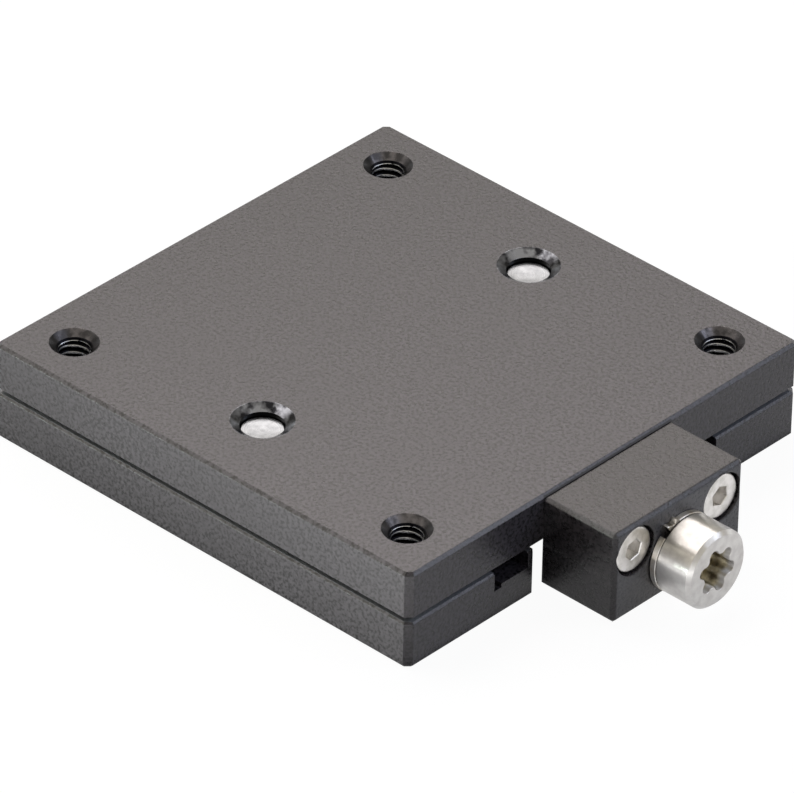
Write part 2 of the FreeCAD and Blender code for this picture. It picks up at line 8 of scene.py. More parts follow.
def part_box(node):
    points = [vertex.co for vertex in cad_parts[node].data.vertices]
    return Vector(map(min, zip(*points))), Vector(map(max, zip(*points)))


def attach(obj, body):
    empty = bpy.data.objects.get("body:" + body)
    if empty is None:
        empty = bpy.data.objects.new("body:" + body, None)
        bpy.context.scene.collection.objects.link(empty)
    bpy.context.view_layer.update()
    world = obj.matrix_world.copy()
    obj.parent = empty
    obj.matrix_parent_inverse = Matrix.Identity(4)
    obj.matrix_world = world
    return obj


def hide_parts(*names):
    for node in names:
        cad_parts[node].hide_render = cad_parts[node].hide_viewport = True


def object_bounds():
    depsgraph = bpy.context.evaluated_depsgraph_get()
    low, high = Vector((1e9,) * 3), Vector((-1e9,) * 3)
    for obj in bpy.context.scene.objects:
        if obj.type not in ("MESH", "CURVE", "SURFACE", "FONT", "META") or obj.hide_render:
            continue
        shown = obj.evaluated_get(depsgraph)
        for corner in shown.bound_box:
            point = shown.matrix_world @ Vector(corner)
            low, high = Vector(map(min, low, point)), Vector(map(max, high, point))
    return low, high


# Manual linear stage: the looks of a slide table on a feed screw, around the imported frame.
# Everything is in metres, in the frame's own axes: X is the travel axis and points to the
# feed screw's head, Y runs across the stage and Z points up from the base's underside.

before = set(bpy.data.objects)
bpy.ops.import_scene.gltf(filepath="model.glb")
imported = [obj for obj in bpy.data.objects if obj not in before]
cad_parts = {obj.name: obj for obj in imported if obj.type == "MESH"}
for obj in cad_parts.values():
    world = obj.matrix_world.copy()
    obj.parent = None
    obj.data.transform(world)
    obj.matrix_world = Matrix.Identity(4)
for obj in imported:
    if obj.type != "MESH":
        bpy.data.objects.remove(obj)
cad_low, cad_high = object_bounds()
MM = 0.001

# The photograph's frame and the camera that was fitted to it
picture_width = 794
camera_azimuth = 42.633
camera_elevation = 34.559
camera_roll = 1.199
camera_distance = 803.45 * MM
camera_target = Vector((0, 0, 5 * MM))
camera_focal_pixels = 9137.7
camera_sensor = 36
camera_offset_pixels = (-0.546, 9.04)

# Corner holes and their M4 threads
mount_pitch = 40 * MM
mount_bore = 3.3 * MM
mount_countersink = 4.5 * MM
mount_thread_pitch = 0.7 * MM
mount_thread_crest = 1.43 * MM
mount_crest_width = 0.17 * MM
mount_root_width = 0.46 * MM

# Feed screw, turned in one piece with its head
feed_thread = 4 * MM
feed_thread_pitch = 0.5 * MM
feed_thread_depth = 0.3 * MM
feed_tip_chamfer = 0.2 * MM
feed_journal_start = 25.4 * MM
feed_journal_step = 0.1 * MM
feed_head_length = 3.75 * MM
feed_head_chamfer = 0.35 * MM
feed_rear_chamfer = 0.06 * MM
feed_socket_points = 4.5 * MM
feed_socket_waist = 3.2 * MM
feed_socket_lobe_radius = 0.55 * MM
feed_socket_depth = 2.4 * MM
feed_socket_phase = math.radians(45)
feed_socket_bright = 0.7 * MM
ring_groove = 3.2 * MM
ring_groove_clearance = 0.05 * MM

# Both kinds of key socket
socket_edge_break = 0.07 * MM
socket_floor_share = 0.48
socket_cone_depth = 0.5 * MM
socket_cone_tip_share = 0.1

# Cap screws of the bracket, and how far each of the two was turned
cap_thread = 2.5 * MM
cap_tip_chamfer = 0.3 * MM
cap_head_height = 2.5 * MM
cap_head_chamfer = 0.22 * MM
cap_socket = 1.75 * MM
cap_socket_depth = 1.3 * MM
cap_phases = (math.radians(12), math.radians(38))

# Split spring washer under the feed screw's head
washer_inner = 4.5 * MM
washer_outer = 7.55 * MM
washer_slit_angle = math.radians(127)
washer_slit = 0.8 * MM
washer_lift = 0.08 * MM
washer_flare = 0.5 * MM
washer_flare_angle = math.radians(6)
washer_burr = 0.42 * MM
washer_burr_angle = math.radians(105)
washer_burr_width = math.radians(2.5)

# Stop pins
stop_pin_spacing = 34 * MM
stop_hole_countersink = 5.7 * MM
stop_pin_head = 4 * MM
stop_pin_tip = 2.5 * MM
stop_pin_head_height = 1.25 * MM
stop_pin_chamfer = 0.12 * MM
stop_pin_dish = 0.09 * MM

# Places of painted light and painted shade on the black finish, measured in from the faces that
# bound them
face_reach = 0.02 * MM
edge_reach = 0.01 * MM
gap_lip = 0.1 * MM
front_light_start = 3 * MM
table_edge_highlight = 0.31 * MM
bracket_edge_highlight = 0.36 * MM
crevice_depth = 0.28 * MM
crevice_top = 0.16 * MM
crevice_bottom = 0.4 * MM

# Directions, a sixth of a turn, the sides of a round mesh, and where an open side of a box lies
ALONG = Vector((1, 0, 0))
VERTICAL = Vector((0, 0, 1))
SIXTH = math.pi / 3
SEGMENTS = 144
FAR = 1000 * MM


def per_mm(size):
    """The scale of a pattern whose features are that many millimetres wide."""
    return 1 / (size * MM)


def linear(colour):
    """A linear RGBA colour from an sRGB hex value such as "#5a5958"."""
    values = []
    for start in (1, 3, 5):
        v = int(colour[start:start + 2], 16) / 255
        values.append(v / 12.92 if v <= 0.04045 else ((v + 0.055) / 1.055) ** 2.4)
    return (*values, 1)


def add(tree, kind, inputs=None, **settings):
    """Adds a node. In inputs, a socket or a node's first output is linked, a value is set.

    In a colour Mix node, inputs 6 and 7 are its two colours and output 2 is their mix.
    """
    node = tree.nodes.new(kind)
    for name, value in settings.items():
        setattr(node, name, value)
    for name, value in (inputs or {}).items():
        if isinstance(value, bpy.types.Node):
            value = value.outputs[0]
        if isinstance(value, bpy.types.NodeSocket):
            tree.links.new(value, node.inputs[name])
        else:
            node.inputs[name].default_value = value
    return node


def new_material(name):
    """An empty node material, with its tree and the object's own coordinates."""
    material = bpy.data.materials.new(name)
    material.use_nodes = True
    tree = material.node_tree
    tree.nodes.clear()
    place = add(tree, "ShaderNodeTexCoord").outputs["Object"]
    return material, tree, place


def distance_to_axis(tree, place, centre, axis, mirrored=False):
    """Distance of a point to a line through centre along axis, both sides alike if mirrored."""
    if mirrored:
        place = add(tree, "ShaderNodeVectorMath", {0: place}, operation="ABSOLUTE")
    across = Vector((1, 1, 1)) - axis
    moved = add(tree, "ShaderNodeVectorMath", {0: place, 1: centre}, operation="SUBTRACT")
    flat = add(tree, "ShaderNodeVectorMath", {0: moved, 1: across}, operation="MULTIPLY")
    return add(tree, "ShaderNodeVectorMath", {0: flat}, operation="LENGTH").outputs["Value"]


def worn_edges(tree, place, width):
    """Up to one on edges narrower than that many millimetres, in patches, as scuffs are."""
    soft = add(tree, "ShaderNodeBevel", {"Radius": width * MM}, samples=6)
    true = add(tree, "ShaderNodeNewGeometry").outputs["Normal"]
    turn = add(tree, "ShaderNodeVectorMath", {0: soft, 1: true}, operation="DOT_PRODUCT")
    edge = add(tree, "ShaderNodeMapRange", {"Value": turn.outputs["Value"], "From Min": 0.995,
                                            "From Max": 0.93})
    knocks = add(tree, "ShaderNodeTexNoise", {"Vector": place, "Scale": per_mm(0.8), "Detail": 3.0})
    broken = add(tree, "ShaderNodeMapRange", {"Value": knocks, "From Min": 0.56, "From Max": 0.68})
    return add(tree, "ShaderNodeMath", {0: edge, 1: broken}, operation="MULTIPLY")


def in_box(tree, place, low, high):
    """One inside the box between two corners, and zero outside it."""
    apart = add(tree, "ShaderNodeSeparateXYZ", {0: place}).outputs
    inside = 1
    for name, start, end in zip("XYZ", low, high):
        within = add(tree, "ShaderNodeMath", {0: apart[name], 1: (start + end) / 2,
                                              2: (end - start) / 2}, operation="COMPARE")
        inside = add(tree, "ShaderNodeMath", {0: within, 1: inside}, operation="MULTIPLY")
    return inside


def painted_light_places(tree, place):
    """How far the black is painted paler, to match the photograph: wholly in the slide gap.

    It is less on the bracket's front, most of all its upper part, on its left upper edge
    and on the table's front edge beside it. This is painted light: light reaching into the gap, a
    painted reflection on the bracket's front and painted highlights on the edges.
    """
    gap_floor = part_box("base_plate")[1].z - face_reach
    gap_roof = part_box("table_plate")[0].z + face_reach
    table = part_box("table_plate")[1]
    low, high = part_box("feed_bracket")
    height = add(tree, "ShaderNodeSeparateXYZ", {0: place}).outputs["Z"]
    by_height = add(tree, "ShaderNodeMapRange", {"Value": height, "From Min": front_light_start,
                                                 "From Max": high.z, "To Min": 0.25,
                                                 "To Max": 0.55})
    # Painted light: in the gap, on the bracket's front and on two edges
    in_gap = ((-FAR, -FAR, gap_floor), (table.x - gap_lip, FAR, gap_roof), 1)
    on_front = ((high.x - face_reach, -FAR, -FAR), (FAR, FAR, FAR), by_height)
    on_table_edge = ((table.x - table_edge_highlight, -FAR, table.z - table_edge_highlight),
                     (table.x, low.y, table.z), 0.2)
    on_bracket_edge = ((table.x, low.y, high.z - bracket_edge_highlight),
                       (high.x, low.y + bracket_edge_highlight, high.z - edge_reach), 0.25)
    most = 0
    for start, end, amount in (in_gap, on_front, on_table_edge, on_bracket_edge):
        here = add(tree, "ShaderNodeMath", {0: in_box(tree, place, start, end), 1: amount},
                   operation="MULTIPLY")
        most = add(tree, "ShaderNodeMath", {0: here, 1: most}, operation="MAXIMUM")
    return most


def crevice(tree, place):
    """A strip high on the table's edge above the bracket: painted shade in the crevice between them.
    """
    low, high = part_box("feed_bracket")
    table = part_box("table_plate")[1]
    dark_strip = in_box(tree, place, (table.x - crevice_depth, low.y, table.z - crevice_bottom),
                  (table.x + edge_reach, high.y, table.z - crevice_top))
    return add(tree, "ShaderNodeMath", {0: dark_strip, 1: 0.8}, operation="MULTIPLY")


def hole_masks(tree, place):
    """One in every countersink and bore, one in the pins' holes only, and one in bores only."""
    corner = distance_to_axis(tree, place, (mount_pitch / 2, mount_pitch / 2, 0), VERTICAL, True)
    pin = distance_to_axis(tree, place, (0, stop_pin_spacing / 2, 0), VERTICAL, True)
    masks = []
    for distance, reach in ((corner, mount_countersink / 2 + face_reach),
                            (pin, stop_hole_countersink / 2 + face_reach),
                            (corner, mount_bore / 2 + edge_reach),
                            (pin, stop_pin_head / 2 + edge_reach)):
        masks.append(add(tree, "ShaderNodeMath", {0: distance, 1: reach}, operation="LESS_THAN"))
    in_corner, in_pin, in_tapped, in_drilled = masks
    cut = add(tree, "ShaderNodeMath", {0: in_corner, 1: in_pin}, operation="MAXIMUM")
    in_bore = add(tree, "ShaderNodeMath", {0: in_tapped, 1: in_drilled}, operation="MAXIMUM")
    return cut, in_pin, in_bore


def dyed_skin_and_light_ramp(tree, place, pits, dark, light, haze):
    """Colour of blasted and dyed aluminium: an uneven grain that drifts to haze in places.

    A ramp along one diagonal, painted light, makes it darker towards -X and +Y and paler
    towards +X and -Y.
    """
    clouds = add(tree, "ShaderNodeTexNoise", {"Vector": place, "Scale": per_mm(7.0), "Detail": 3.0})
    grain = add(tree, "ShaderNodeMapRange", {"Value": pits, "From Min": 0.38, "From Max": 0.62})
    dye = add(tree, "ShaderNodeMix", {0: grain, 6: linear(dark), 7: linear(light)}, data_type="RGBA")
    drift = add(tree, "ShaderNodeMapRange", {"Value": clouds, "From Min": 0.35, "From Max": 0.65,
                                             "To Max": 0.25})
    even = add(tree, "ShaderNodeMix", {0: drift, 6: dye.outputs[2], 7: linear(haze)},
               data_type="RGBA")
    # Painted light: the colour is scaled from 0.68 to 1.34 along the diagonal
    lean = add(tree, "ShaderNodeVectorMath", {0: place, 1: (1, -0.6, 0)},
               operation="DOT_PRODUCT").outputs["Value"]
    fade = add(tree, "ShaderNodeMapRange", {"Value": lean, "From Min": -40 * MM,
                                            "From Max": 40 * MM, "To Min": 0.68, "To Max": 1.34})
    return add(tree, "ShaderNodeVectorMath", {0: even.outputs[2], "Scale": fade},
               operation="SCALE").outputs["Vector"]


def cut_metal(tree, place, in_pin, in_bore):
    """Colour of countersinks and bores, drawn as if they were cut after the blasting.

    Bright and dark patches are painted reflections, glints and dark spots, with more contrast
    round the pins than in the corner holes. The two ends of each cone on one diagonal of the
    stage are painted dark as painted shade. The bores are painted black as painted shade.
    """
    # Painted reflections: bright and dark patches of colour on the cones
    glint_patches = add(tree, "ShaderNodeTexNoise", {"Vector": place, "Scale": per_mm(0.9), "Detail": 4.0})
    bright = add(tree, "ShaderNodeMapRange", {"Value": glint_patches, "From Min": 0.4, "From Max": 0.6})
    at_corners = add(tree, "ShaderNodeMix", {0: bright, 6: linear("#4b494b"),
                                             7: linear("#7d797c")}, data_type="RGBA")
    at_pins = add(tree, "ShaderNodeMix", {0: bright, 6: linear("#2a2a30"),
                                          7: linear("#a9abb3")}, data_type="RGBA")
    cone = add(tree, "ShaderNodeMix", {0: in_pin, 6: at_corners.outputs[2],
                                       7: at_pins.outputs[2]}, data_type="RGBA")
    # Painted shade: the two ends of each cone on one diagonal go towards #0e0e10
    faces = add(tree, "ShaderNodeNewGeometry").outputs["Normal"]
    diagonal = add(tree, "ShaderNodeVectorMath", {0: faces, 1: (0.707, 0.707, 0)},
                   operation="DOT_PRODUCT").outputs["Value"]
    at_ends = add(tree, "ShaderNodeMath", {0: diagonal}, operation="ABSOLUTE")
    end_shade = add(tree, "ShaderNodeMapRange", {"Value": at_ends, "From Min": 0.25,
                                             "From Max": 0.6, "To Max": 0.85})
    stained_and_shaded = add(tree, "ShaderNodeMix", {0: end_shade, 6: cone.outputs[2],
                                          7: linear("#0e0e10")}, data_type="RGBA")
    # Painted shade: the bores are near black
    return add(tree, "ShaderNodeMix", {0: in_bore, 6: stained_and_shaded.outputs[2],
                                       7: linear("#0b0b0e")}, data_type="RGBA")


def black_anodised_aluminium(name, dark, light, haze, edge):
    """Bead-blasted aluminium, anodised black.

    The dye leaves hardly any colour of its own, and the clear oxide over it mirrors the
    surroundings softly, so the eye sees grey where the surface turns to a lamp or a white
    floor and near black where it turns to another dark part. Countersinks and holes are
    smooth and glint, helped by painted reflections. Painted light pales some places and
    painted shade darkens others, and scuffs on the edges show bare metal. Edges are rounded
    over a width of edge millimetres. Blast pits are usually about 0.1 mm wide and are drawn as 0.3
    mm here, because finer ones don't show.
    """
    material, tree, place = new_material(name)
    pits = add(tree, "ShaderNodeTexNoise", {"Vector": place, "Scale": per_mm(0.32),
                                            "Detail": 2.0, "Roughness": 0.5})
    cut, in_pin, in_bore = hole_masks(tree, place)
    shade_in_crevice = crevice(tree, place)
    # Painted light: the skin is mixed towards pale grey #929296 in those places
    painted_light_skin = add(tree, "ShaderNodeMix", {0: painted_light_places(tree, place),
                                         6: dyed_skin_and_light_ramp(tree, place, pits, dark, light, haze),
                                         7: linear("#929296")}, data_type="RGBA")
    worn = add(tree, "ShaderNodeMath", {0: worn_edges(tree, place, 0.1), 1: 0.5},
               operation="MULTIPLY")
    scuffed = add(tree, "ShaderNodeMix", {0: worn, 6: painted_light_skin.outputs[2], 7: linear("#b4b5b8")},
                  data_type="RGBA")
    # Painted shade: the crevice strip is darkened towards #161617
    skin_colour = add(tree, "ShaderNodeMix", {0: shade_in_crevice, 6: scuffed.outputs[2],
                                              7: linear("#161617")}, data_type="RGBA")
    bare = cut_metal(tree, place, in_pin, in_bore)
    colour = add(tree, "ShaderNodeMix", {0: cut, 6: skin_colour.outputs[2], 7: bare.outputs[2]},
                 data_type="RGBA")
    metallic = add(tree, "ShaderNodeMath", {0: cut, 1: 0.75}, operation="MULTIPLY")

    blasted = add(tree, "ShaderNodeMapRange", {"Value": pits, "From Min": 0.3, "From Max": 0.7,
                                               "To Min": 0.25, "To Max": 0.33})
    # The strip of painted shade is also made a little rougher
    crevice_rough = add(tree, "ShaderNodeMath", {0: shade_in_crevice, 1: 0.2, 2: blasted}, operation="MULTIPLY_ADD")
    rough = add(tree, "ShaderNodeMath", {0: in_pin, 1: -0.1, 2: crevice_rough}, operation="MULTIPLY_ADD")
    smooth = add(tree, "ShaderNodeMath", {0: cut, 1: -0.8, 2: 1.0}, operation="MULTIPLY_ADD")
    relief = add(tree, "ShaderNodeMath", {0: pits, 1: smooth}, operation="MULTIPLY")
    rounded = add(tree, "ShaderNodeBevel", {"Radius": edge * MM}, samples=6)
    bump = add(tree, "ShaderNodeBump", {"Strength": 1.0, "Distance": 0.035 * MM, "Height": relief,
                                        "Normal": rounded})
    shader = add(tree, "ShaderNodeBsdfPrincipled",
                 {"Base Color": colour.outputs[2], "Metallic": metallic, "Roughness": rough,
                  "Normal": bump, "IOR": 1.5})
    add(tree, "ShaderNodeOutputMaterial", {"Surface": shader})
    return material


def metal_surface(tree, colour, roughness, height, depth, metallic=1.0, grain=0.0):
    """Ends a metal's material: slightly broken edges, and marks that many millimetres deep.

    A grain above zero stretches reflections along X, across marks that run round X.
    """
    rounded = add(tree, "ShaderNodeBevel", {"Radius": 0.05 * MM}, samples=4)
    bump = add(tree, "ShaderNodeBump", {"Strength": 1.0, "Distance": depth * MM, "Height": height,
                                        "Normal": rounded})
    around = add(tree, "ShaderNodeTangent", direction_type="RADIAL", axis="X")
    shader = add(tree, "ShaderNodeBsdfPrincipled",
                 {"Base Color": colour, "Metallic": metallic, "Roughness": roughness,
                  "Normal": bump, "Anisotropic": grain, "Anisotropic Rotation": 0.25,
                  "Tangent": around})
    add(tree, "ShaderNodeOutputMaterial", {"Surface": shader})


def nickel_plated_turned_steel():
    """The feed screw: turned steel under bright nickel.

    The tool marks run round it and smear what it mirrors along its axis, so the head's side
    shows the studio as long smooth bands, and faint rings are left on its face. Feed marks
    are usually about 0.05 mm apart and are drawn as 0.12 mm. The socket is a dull brown
    below its mouth, as where plating stays thin.
    """
    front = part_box("feed_screw")[1].x
    bare_from = front - feed_socket_bright
    blur = 0.2 * MM
    wall_reach = 0.03 * MM
    material, tree, place = new_material("nickel_plated_turned_steel")
    around = distance_to_axis(tree, place, feed_axis(), ALONG)
    along = add(tree, "ShaderNodeVectorMath", {0: place, 1: ALONG},
                operation="DOT_PRODUCT").outputs["Value"]
    path = add(tree, "ShaderNodeMath", {0: around, 1: along}, operation="ADD")
    rings = add(tree, "ShaderNodeTexNoise", {"W": path, "Scale": per_mm(0.12), "Detail": 2.0},
                noise_dimensions="1D")
    clouds = add(tree, "ShaderNodeTexNoise", {"Vector": place, "Scale": per_mm(0.8), "Detail": 3.0})
    cloudy = add(tree, "ShaderNodeMapRange", {"Value": clouds, "From Min": 0.35, "From Max": 0.7})
    tone = add(tree, "ShaderNodeMix", {0: cloudy, 6: linear("#dddbd8"), 7: linear("#cbc8c6")},
               data_type="RGBA")
    inside = add(tree, "ShaderNodeMath", {0: around, 1: feed_socket_points / 2 + wall_reach},
                 operation="LESS_THAN")
    deep = add(tree, "ShaderNodeMapRange", {"Value": along, "From Min": bare_from + blur,
                                            "From Max": bare_from - blur})
    bare = add(tree, "ShaderNodeMath", {0: inside, 1: deep}, operation="MULTIPLY")
    dull = add(tree, "ShaderNodeMix", {0: cloudy, 6: linear("#ece3c8"), 7: linear("#7d735f")},
               data_type="RGBA")
    colour = add(tree, "ShaderNodeMix", {0: bare, 6: tone.outputs[2], 7: dull.outputs[2]},
                 data_type="RGBA")
    sheen = add(tree, "ShaderNodeMapRange", {"Value": clouds, "From Min": 0.3, "From Max": 0.7,
                                             "To Min": 0.28, "To Max": 0.36})
    below = add(tree, "ShaderNodeMath", {0: along, 1: front - wall_reach}, operation="LESS_THAN")
    walls = add(tree, "ShaderNodeMath", {0: below, 1: inside}, operation="MULTIPLY")
    rough = add(tree, "ShaderNodeMath", {0: walls, 1: 0.35, 2: sheen}, operation="MULTIPLY_ADD")
    metal_surface(tree, colour.outputs[2], rough, rings, 0.0012, grain=0.9)
    return material


def nickel_plated_cap_screw():
    """The bracket's screws: cold-headed steel under dull nickel.

    The forming die leaves a flat, finely frosted head that scatters light, so the eye sees
    a matt pale grey with a brighter rim.
    """
    material, tree, place = new_material("nickel_plated_cap_screw")
    frost = add(tree, "ShaderNodeTexNoise", {"Vector": place, "Scale": per_mm(0.22),
                                             "Detail": 3.0, "Roughness": 0.6})
    stains = add(tree, "ShaderNodeTexNoise", {"Vector": place, "Scale": per_mm(0.7), "Detail": 3.0})
    stained_and_shaded = add(tree, "ShaderNodeMapRange", {"Value": stains, "From Min": 0.4, "From Max": 0.7})
    tone = add(tree, "ShaderNodeMix", {0: stained_and_shaded, 6: linear("#f2efec"), 7: linear("#d3d1cb")},
               data_type="RGBA")
    rough = add(tree, "ShaderNodeMapRange", {"Value": frost, "From Min": 0.3, "From Max": 0.7,
                                             "To Min": 0.3, "To Max": 0.42})
    metal_surface(tree, tone.outputs[2], rough, frost, 0.006)
    return material


def faced_pin_steel():
    """The stop pins: ground bright steel, chamfered and faced off on a lathe.

    The facing tool leaves fine rings round the pin's centre and a shallow dish, so the far
    side catches the lamp. Such rings are usually about 0.04 mm apart and are drawn as
    0.1 mm.
    """
    material, tree, place = new_material("faced_pin_steel")
    centre = (0, stop_pin_spacing / 2, 0)
    around = distance_to_axis(tree, place, centre, VERTICAL, True)
    rings = add(tree, "ShaderNodeTexNoise", {"W": around, "Scale": per_mm(0.1), "Detail": 2.0},
                noise_dimensions="1D")
    clouds = add(tree, "ShaderNodeTexNoise", {"Vector": place, "Scale": per_mm(0.8), "Detail": 3.0})
    cloudy = add(tree, "ShaderNodeMapRange", {"Value": clouds, "From Min": 0.35, "From Max": 0.7})
    tone = add(tree, "ShaderNodeMix", {0: cloudy, 6: linear("#a3a5a9"), 7: linear("#87898d")},
               data_type="RGBA")
    rough = add(tree, "ShaderNodeMapRange", {"Value": rings, "From Min": 0.3, "From Max": 0.7,
                                             "To Min": 0.22, "To Max": 0.34})
    metal_surface(tree, tone.outputs[2], rough, rings, 0.0015)
    return material


def nickel_plated_spring_steel():
    """The spring washer, the retaining ring and the rails' end plates: bright nickel.

    Nickel lies thin and cloudy on rolled spring strip, so the eye sees pale metal that
    turns straw-coloured in patches.
    """
    material, tree, place = new_material("nickel_plated_spring_steel")
    film = add(tree, "ShaderNodeTexNoise", {"Vector": place, "Scale": per_mm(0.9), "Detail": 3.0})
    thick = add(tree, "ShaderNodeMapRange", {"Value": film, "From Min": 0.35, "From Max": 0.65})
    tone = add(tree, "ShaderNodeMix", {0: thick, 6: linear("#dcdad6"), 7: linear("#b7b0a6")},
               data_type="RGBA")
    rough = add(tree, "ShaderNodeMapRange", {"Value": film, "From Min": 0.3, "From Max": 0.7,
                                             "To Min": 0.26, "To Max": 0.36})
    metal_surface(tree, tone.outputs[2], rough, film, 0.004, grain=0.9)
    return material


def ground_rail_steel():
    """The four rails: hardened steel, ground lengthwise.

    The wheel's grit leaves fine straight lines along the rail. They are usually about
    0.02 mm apart and are drawn as 0.1 mm.
    """
    material, tree, place = new_material("ground_rail_steel")
    drawn = add(tree, "ShaderNodeVectorMath", {0: place, 1: (0.06, 1, 1)}, operation="MULTIPLY")
    lines = add(tree, "ShaderNodeTexNoise", {"Vector": drawn, "Scale": per_mm(0.1),
                                             "Detail": 3.0, "Roughness": 0.6})
    grey = add(tree, "ShaderNodeMapRange", {"Value": lines, "From Min": 0.3, "From Max": 0.7})
    tone = add(tree, "ShaderNodeMix", {0: grey, 6: linear("#97989b"), 7: linear("#bcbdbf")},
               data_type="RGBA")
    metal_surface(tree, tone.outputs[2], 0.26, lines, 0.002)
    return material


def polished_ball_steel():
    """The bearing balls: chrome steel, lapped until it mirrors, with the faintest haze."""
    material, tree, place = new_material("polished_ball_steel")
    haze = add(tree, "ShaderNodeTexNoise", {"Vector": place, "Scale": per_mm(0.5), "Detail": 2.0})
    rough = add(tree, "ShaderNodeMapRange", {"Value": haze, "From Min": 0.3, "From Max": 0.7,
                                             "To Min": 0.05, "To Max": 0.09})
    metal_surface(tree, linear("#d0d1d3"), rough, haze, 0.0002)
    return material


def rolled_brass():
    """The ball cages: brass sheet. Rolling draws out long faint streaks of a paler yellow."""
    material, tree, place = new_material("rolled_brass")
    drawn = add(tree, "ShaderNodeVectorMath", {0: place, 1: (0.08, 1, 1)}, operation="MULTIPLY")
    streaks = add(tree, "ShaderNodeTexNoise", {"Vector": drawn, "Scale": per_mm(0.15),
                                               "Detail": 3.0})
    pale = add(tree, "ShaderNodeMapRange", {"Value": streaks, "From Min": 0.3, "From Max": 0.7})
    tone = add(tree, "ShaderNodeMix", {0: pale, 6: linear("#a98743"), 7: linear("#d1b064")},
               data_type="RGBA")
    metal_surface(tree, tone.outputs[2], 0.27, streaks, 0.002)
    return material


def turned_bronze():
    """The nut, the thrust washer and the lock pad: bronze, left as the tool cut it."""
    material, tree, place = new_material("turned_bronze")
    around = distance_to_axis(tree, place, feed_axis(), ALONG)
    marks = add(tree, "ShaderNodeTexNoise", {"W": around, "Scale": per_mm(0.12), "Detail": 3.0},
                noise_dimensions="1D")
    warm = add(tree, "ShaderNodeMapRange", {"Value": marks, "From Min": 0.3, "From Max": 0.7})
    tone = add(tree, "ShaderNodeMix", {0: warm, 6: linear("#97713c"), 7: linear("#c59c5e")},
               data_type="RGBA")
    metal_surface(tree, tone.outputs[2], 0.32, marks, 0.003)
    return material


def black_oxide_steel():
    """The hidden socket screws: black oxide over steel, a thin film with an oily dull gleam."""
    material, tree, place = new_material("black_oxide_steel")
    film = add(tree, "ShaderNodeTexNoise", {"Vector": place, "Scale": per_mm(0.3), "Detail": 3.0})
    thin = add(tree, "ShaderNodeMapRange", {"Value": film, "From Min": 0.35, "From Max": 0.7})
    tone = add(tree, "ShaderNodeMix", {0: thin, 6: linear("#17171a"), 7: linear("#2c2c30")},
               data_type="RGBA")
    metal_surface(tree, tone.outputs[2], 0.4, film, 0.004, metallic=0.6)
    return material


def nickel_plated_screw_steel():
    """The small slotted screws: turned steel under nickel, pale and a little cloudy."""
    material, tree, place = new_material("nickel_plated_screw_steel")
    clouds = add(tree, "ShaderNodeTexNoise", {"Vector": place, "Scale": per_mm(0.25),
                                              "Detail": 3.0})
    cloudy = add(tree, "ShaderNodeMapRange", {"Value": clouds, "From Min": 0.3, "From Max": 0.7})
    tone = add(tree, "ShaderNodeMix", {0: cloudy, 6: linear("#cfcec9"), 7: linear("#aaa8a3")},
               data_type="RGBA")
    metal_surface(tree, tone.outputs[2], 0.3, clouds, 0.003)
    return material


def tapped_aluminium():
    """Threads of the corner holes: the tap burnishes the crests bright, and the flanks are painted
    black as painted shade in the grooves.
    """
    material, tree, place = new_material("tapped_aluminium")
    reach = distance_to_axis(tree, place, (mount_pitch / 2, mount_pitch / 2, 0), VERTICAL, True)
    crest = add(tree, "ShaderNodeMapRange", {"Value": reach,
                                             "From Min": mount_thread_crest + 0.05 * MM,
                                             "From Max": mount_thread_crest + 0.015 * MM})
    grain = add(tree, "ShaderNodeTexNoise", {"Vector": place, "Scale": per_mm(0.3), "Detail": 3.0})
    # Painted shade: the flanks are near black #101014, the crests pale
    tone = add(tree, "ShaderNodeMix", {0: crest, 6: linear("#101014"), 7: linear("#f2f3f6")},
               data_type="RGBA")
    rough = add(tree, "ShaderNodeMapRange", {"Value": grain, "From Min": 0.3, "From Max": 0.7,
                                             "To Min": 0.24, "To Max": 0.36})
    metal_surface(tree, tone.outputs[2], rough, grain, 0.003)
    return material


def new_object(name, mesh, material, body):
    """Links a mesh as a piece of the stage, on its CAD body and with its material slot."""
    piece = bpy.data.objects.new(name, mesh)
    bpy.context.scene.collection.objects.link(piece)
    mesh.materials.append(material)
    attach(piece, body)
    return piece


def mesh_from(build, name, crease=35):
    """Runs build on a bmesh and makes a mesh, smooth but for edges sharper than crease."""
    shape = bmesh.new()
    build(shape)
    bmesh.ops.remove_doubles(shape, verts=shape.verts, dist=1e-7)
    bmesh.ops.recalc_face_normals(shape, faces=shape.faces)
    mesh = bpy.data.meshes.new(name)
    shape.to_mesh(mesh)
    shape.free()
    for face in mesh.polygons:
        face.use_smooth = True
    mesh.set_sharp_from_angle(angle=math.radians(crease))
    return mesh


def skin(shape, rings):
    """Faces between neighbouring rings of vertices."""
    for a, b in zip(rings, rings[1:]):
        count = len(a)
        for i in range(count):
            j = (i + 1) % count
            corners = []
            for v in (a[i], a[j], b[j], b[i]):
                if v not in corners:
                    corners.append(v)
            if len(corners) > 2:
                shape.faces.new(corners)


def ring(shape, place, along, reach, phase=0):
    """A ring of vertices round an axis. Its reach is a radius, or a function of the angle."""
    vertices = []
    for i in range(SEGMENTS):
        turn = 2 * math.pi * i / SEGMENTS
        radius = reach(turn) if callable(reach) else reach
        vertices.append(shape.verts.new(place(radius, phase + turn, along)))
    return vertices


def turned(shape, place, outline, phase=0):
    """Rings of a turned part, from (place along the axis, radius) points."""
    return [ring(shape, place, along, radius, phase) for along, radius in outline]


def hexagon(across_flats):
    """Outline of a hexagon socket, at a margin outside it: its reach at an angle from a corner."""
    def outline(margin):
        return lambda turn: (across_flats / 2 + margin) / math.cos(turn % SIXTH - SIXTH / 2)
    return outline


